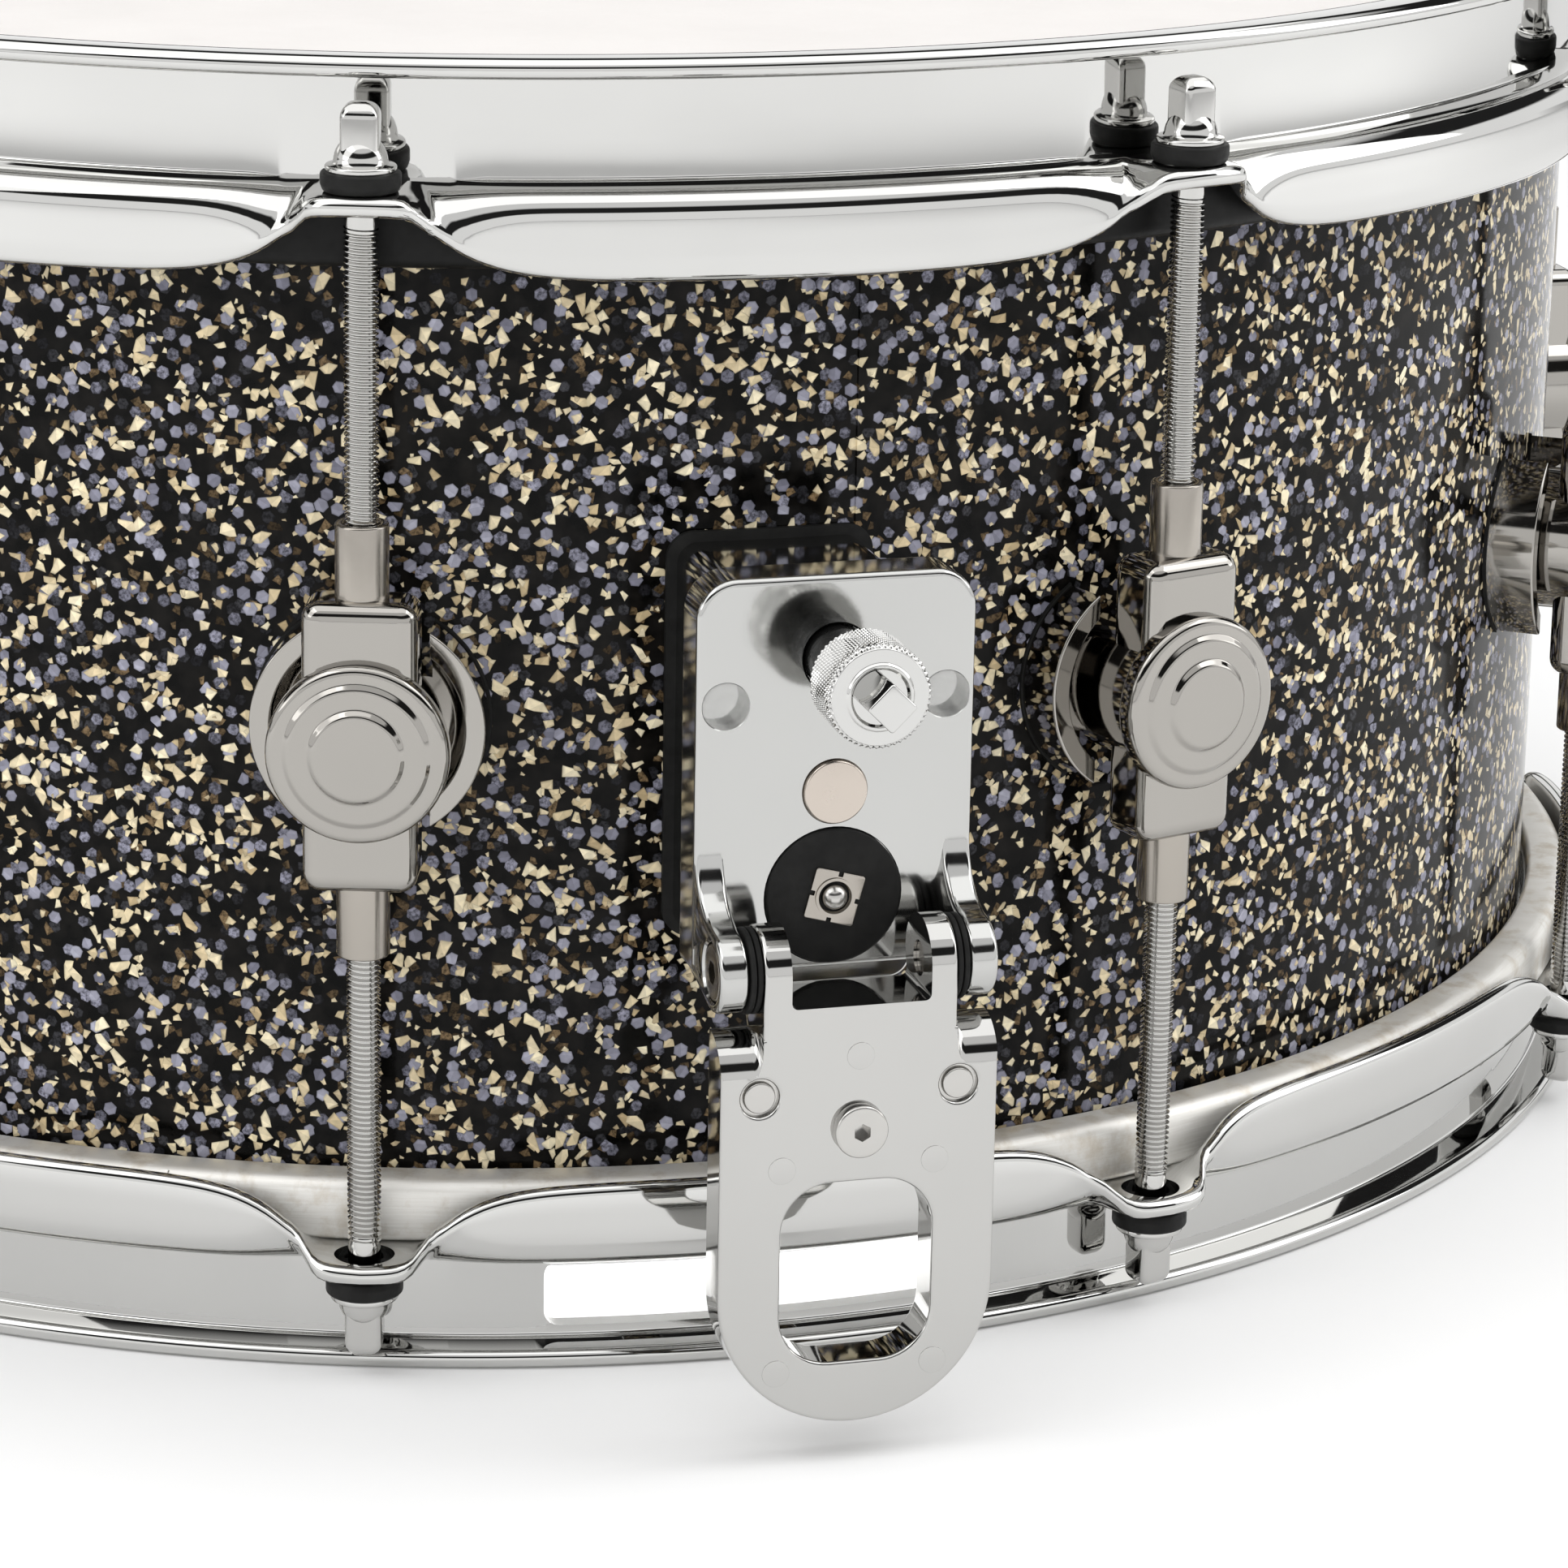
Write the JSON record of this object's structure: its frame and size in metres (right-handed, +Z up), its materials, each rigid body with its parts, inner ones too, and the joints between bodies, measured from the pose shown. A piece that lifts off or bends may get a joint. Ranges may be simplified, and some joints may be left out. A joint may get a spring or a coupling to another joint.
{
  "type": "snare drum",
  "caption": "Snare drum with glitter-wrapped wooden shell, flanged chrome rims, round-faced lugs, tension rods and a hinged throw-off lever with a knurled tension knob.",
  "frame": {"origin": "on the drum's axis, in the plane that the lower rim rests on", "axes": "+Z up the drum's axis, -Y out through the middle of the throw-off, +X to the right of someone who faces the throw-off"},
  "size_m": [0.4, 0.4373, 0.1884],
  "materials": {
    "maple": "clear matte lacquer",
    "glitter_wrap": "black with gold and blue-grey glass flakes under clear gloss",
    "chrome": "polished plating",
    "rod_chrome": "plated steel with cut thread",
    "nickel": "plain nickel plate",
    "zinc_steel": "zinc plated",
    "black_nylon": "moulded",
    "black_oxide": "satin black",
    "gasket": "thin pad",
    "coated_film": "sprayed white coating",
    "clear_film": "thin hazy polyester",
    "raw_aluminium": "extruded, unpolished",
    "clear_bumper": "soft clear plastic",
    "cast_zinc": "plain casting"
  },
  "bodies": {
    "drum": {"shell": "maple", "shell_wrap": "glitter_wrap", "reinforcement_rings": "maple", "vent_eyelet": "chrome", "lugs": "chrome", "lug_receivers": "nickel", "lug_gaskets": "gasket", "lug_screws": "zinc_steel", "strainer_gasket": "gasket", "strainer_neck": "chrome", "mounting_screws": "zinc_steel", "strainer_body": "chrome", "hinge_washers": "black_nylon", "hinge_screws": "zinc_steel", "magnet": "nickel", "bumpers": "clear_bumper", "guide_disc": "black_nylon", "push_nut": "zinc_steel", "guide_stud": "zinc_steel", "butt_gasket": "gasket", "butt_body": "chrome", "butt_clamp_plate": "chrome", "butt_clamp_screws": "chrome"},
    "batter_rim": {"batter_hoop": "chrome", "batter_head": "coated_film", "batter_flesh_hoop": "black_oxide", "batter_rod_washers": "black_nylon"},
    "snare_rim": {"snare_hoop": "chrome", "snare_head": "clear_film", "snare_flesh_hoop": "raw_aluminium", "snare_rod_washers": "black_nylon"},
    "lever": {"throw_lever": "chrome", "lever_striker": "zinc_steel", "lever_pins": "zinc_steel"},
    "knob": {"tension_knob": "chrome", "tension_screw": "black_oxide"},
    "carriage": {"snare_carriage": "cast_zinc"},
    "clamp": {"snare_clamp": "cast_zinc", "snare_clamp_plate": "zinc_steel", "snare_clamp_screws": "zinc_steel"},
    "batter_rod_01": {"batter_rod_01": "rod_chrome"},
    "batter_rod_02": {"batter_rod_02": "rod_chrome"},
    "batter_rod_03": {"batter_rod_03": "rod_chrome"},
    "batter_rod_04": {"batter_rod_04": "rod_chrome"},
    "batter_rod_05": {"batter_rod_05": "rod_chrome"},
    "batter_rod_06": {"batter_rod_06": "rod_chrome"},
    "batter_rod_07": {"batter_rod_07": "rod_chrome"},
    "batter_rod_08": {"batter_rod_08": "rod_chrome"},
    "batter_rod_09": {"batter_rod_09": "rod_chrome"},
    "batter_rod_10": {"batter_rod_10": "rod_chrome"},
    "snare_rod_01": {"snare_rod_01": "rod_chrome"},
    "snare_rod_02": {"snare_rod_02": "rod_chrome"},
    "snare_rod_03": {"snare_rod_03": "rod_chrome"},
    "snare_rod_04": {"snare_rod_04": "rod_chrome"},
    "snare_rod_05": {"snare_rod_05": "rod_chrome"},
    "snare_rod_06": {"snare_rod_06": "rod_chrome"},
    "snare_rod_07": {"snare_rod_07": "rod_chrome"},
    "snare_rod_08": {"snare_rod_08": "rod_chrome"},
    "snare_rod_09": {"snare_rod_09": "rod_chrome"},
    "snare_rod_10": {"snare_rod_10": "rod_chrome"}
  },
  "joints": [
    {"name": "batter_rim_travel", "type": "slide", "parent": "drum", "child": "batter_rim", "axis": [0, 0, 1], "range_m": [0, 0.00476]},
    {"name": "batter_rod_01_turn", "type": "hinge", "parent": "batter_rim", "child": "batter_rod_01", "pos_m": [0.05887, -0.18118, 0.179], "axis": [0, 0, 1], "range_deg": [0, 2161]},
    {"name": "batter_rod_02_turn", "type": "hinge", "parent": "batter_rim", "child": "batter_rod_02", "pos_m": [0.15412, -0.11197, 0.179], "axis": [0, 0, 1], "range_deg": [0, 2161]},
    {"name": "batter_rod_03_turn", "type": "hinge", "parent": "batter_rim", "child": "batter_rod_03", "pos_m": [0.1905, 0, 0.179], "axis": [0, 0, 1], "range_deg": [0, 2161]},
    {"name": "batter_rod_04_turn", "type": "hinge", "parent": "batter_rim", "child": "batter_rod_04", "pos_m": [0.15412, 0.11197, 0.179], "axis": [0, 0, 1], "range_deg": [0, 2161]},
    {"name": "batter_rod_05_turn", "type": "hinge", "parent": "batter_rim", "child": "batter_rod_05", "pos_m": [0.05887, 0.18118, 0.179], "axis": [0, 0, 1], "range_deg": [0, 2161]},
    {"name": "batter_rod_06_turn", "type": "hinge", "parent": "batter_rim", "child": "batter_rod_06", "pos_m": [-0.05887, 0.18118, 0.179], "axis": [0, 0, 1], "range_deg": [0, 2161]},
    {"name": "batter_rod_07_turn", "type": "hinge", "parent": "batter_rim", "child": "batter_rod_07", "pos_m": [-0.15412, 0.11197, 0.179], "axis": [0, 0, 1], "range_deg": [0, 2161]},
    {"name": "batter_rod_08_turn", "type": "hinge", "parent": "batter_rim", "child": "batter_rod_08", "pos_m": [-0.1905, 0, 0.179], "axis": [0, 0, 1], "range_deg": [0, 2161]},
    {"name": "batter_rod_09_turn", "type": "hinge", "parent": "batter_rim", "child": "batter_rod_09", "pos_m": [-0.15412, -0.11197, 0.179], "axis": [0, 0, 1], "range_deg": [0, 2161]},
    {"name": "batter_rod_10_turn", "type": "hinge", "parent": "batter_rim", "child": "batter_rod_10", "pos_m": [-0.05887, -0.18118, 0.179], "axis": [0, 0, 1], "range_deg": [0, 2161]},
    {"name": "snare_rim_travel", "type": "slide", "parent": "drum", "child": "snare_rim", "axis": [0, 0, -1], "range_m": [0, 0.00476]},
    {"name": "snare_rod_01_turn", "type": "hinge", "parent": "snare_rim", "child": "snare_rod_01", "pos_m": [0.05887, -0.18118, 0.0085], "axis": [0, 0, -1], "range_deg": [0, 2161]},
    {"name": "snare_rod_02_turn", "type": "hinge", "parent": "snare_rim", "child": "snare_rod_02", "pos_m": [0.15412, -0.11197, 0.0085], "axis": [0, 0, -1], "range_deg": [0, 2161]},
    {"name": "snare_rod_03_turn", "type": "hinge", "parent": "snare_rim", "child": "snare_rod_03", "pos_m": [0.1905, 0, 0.0085], "axis": [0, 0, -1], "range_deg": [0, 2161]},
    {"name": "snare_rod_04_turn", "type": "hinge", "parent": "snare_rim", "child": "snare_rod_04", "pos_m": [0.15412, 0.11197, 0.0085], "axis": [0, 0, -1], "range_deg": [0, 2161]},
    {"name": "snare_rod_05_turn", "type": "hinge", "parent": "snare_rim", "child": "snare_rod_05", "pos_m": [0.05887, 0.18118, 0.0085], "axis": [0, 0, -1], "range_deg": [0, 2161]},
    {"name": "snare_rod_06_turn", "type": "hinge", "parent": "snare_rim", "child": "snare_rod_06", "pos_m": [-0.05887, 0.18118, 0.0085], "axis": [0, 0, -1], "range_deg": [0, 2161]},
    {"name": "snare_rod_07_turn", "type": "hinge", "parent": "snare_rim", "child": "snare_rod_07", "pos_m": [-0.15412, 0.11197, 0.0085], "axis": [0, 0, -1], "range_deg": [0, 2161]},
    {"name": "snare_rod_08_turn", "type": "hinge", "parent": "snare_rim", "child": "snare_rod_08", "pos_m": [-0.1905, 0, 0.0085], "axis": [0, 0, -1], "range_deg": [0, 2161]},
    {"name": "snare_rod_09_turn", "type": "hinge", "parent": "snare_rim", "child": "snare_rod_09", "pos_m": [-0.15412, -0.11197, 0.0085], "axis": [0, 0, -1], "range_deg": [0, 2161]},
    {"name": "snare_rod_10_turn", "type": "hinge", "parent": "snare_rim", "child": "snare_rod_10", "pos_m": [-0.05887, -0.18118, 0.0085], "axis": [0, 0, -1], "range_deg": [0, 2161]},
    {"name": "lever_throw", "type": "hinge", "parent": "drum", "child": "lever", "pos_m": [0, -0.22075, 0.07045], "axis": [-1, 0, 0], "range_deg": [0, 180]},
    {"name": "carriage_lift", "type": "slide", "parent": "drum", "child": "carriage", "axis": [0, 0, 1], "range_m": [0, 0.00902]},
    {"name": "knob_turn", "type": "hinge", "parent": "drum", "child": "knob", "pos_m": [0, -0.215, 0.11095], "axis": [0, -1, 0], "range_deg": [-721, 721]},
    {"name": "clamp_shift", "type": "slide", "parent": "carriage", "child": "clamp", "axis": [0, 0, 1], "range_m": [-0.001, 0.001]}
  ],
  "couplings": [
    {"joint": "batter_rod_01_turn", "follows": "batter_rim_travel", "rad_per_m": 7915.8},
    {"joint": "batter_rod_02_turn", "follows": "batter_rim_travel", "rad_per_m": 7915.8},
    {"joint": "batter_rod_03_turn", "follows": "batter_rim_travel", "rad_per_m": 7915.8},
    {"joint": "batter_rod_04_turn", "follows": "batter_rim_travel", "rad_per_m": 7915.8},
    {"joint": "batter_rod_05_turn", "follows": "batter_rim_travel", "rad_per_m": 7915.8},
    {"joint": "batter_rod_06_turn", "follows": "batter_rim_travel", "rad_per_m": 7915.8},
    {"joint": "batter_rod_07_turn", "follows": "batter_rim_travel", "rad_per_m": 7915.8},
    {"joint": "batter_rod_08_turn", "follows": "batter_rim_travel", "rad_per_m": 7915.8},
    {"joint": "batter_rod_09_turn", "follows": "batter_rim_travel", "rad_per_m": 7915.8},
    {"joint": "batter_rod_10_turn", "follows": "batter_rim_travel", "rad_per_m": 7915.8},
    {"joint": "snare_rod_01_turn", "follows": "snare_rim_travel", "rad_per_m": 7915.8},
    {"joint": "snare_rod_02_turn", "follows": "snare_rim_travel", "rad_per_m": 7915.8},
    {"joint": "snare_rod_03_turn", "follows": "snare_rim_travel", "rad_per_m": 7915.8},
    {"joint": "snare_rod_04_turn", "follows": "snare_rim_travel", "rad_per_m": 7915.8},
    {"joint": "snare_rod_05_turn", "follows": "snare_rim_travel", "rad_per_m": 7915.8},
    {"joint": "snare_rod_06_turn", "follows": "snare_rim_travel", "rad_per_m": 7915.8},
    {"joint": "snare_rod_07_turn", "follows": "snare_rim_travel", "rad_per_m": 7915.8},
    {"joint": "snare_rod_08_turn", "follows": "snare_rim_travel", "rad_per_m": 7915.8},
    {"joint": "snare_rod_09_turn", "follows": "snare_rim_travel", "rad_per_m": 7915.8},
    {"joint": "snare_rod_10_turn", "follows": "snare_rim_travel", "rad_per_m": 7915.8},
    {"joint": "carriage_lift", "follows": "lever_throw", "m_per_rad": 0.0028648},
    {"joint": "knob_turn", "follows": "clamp_shift", "rad_per_m": -12566}
  ]
}
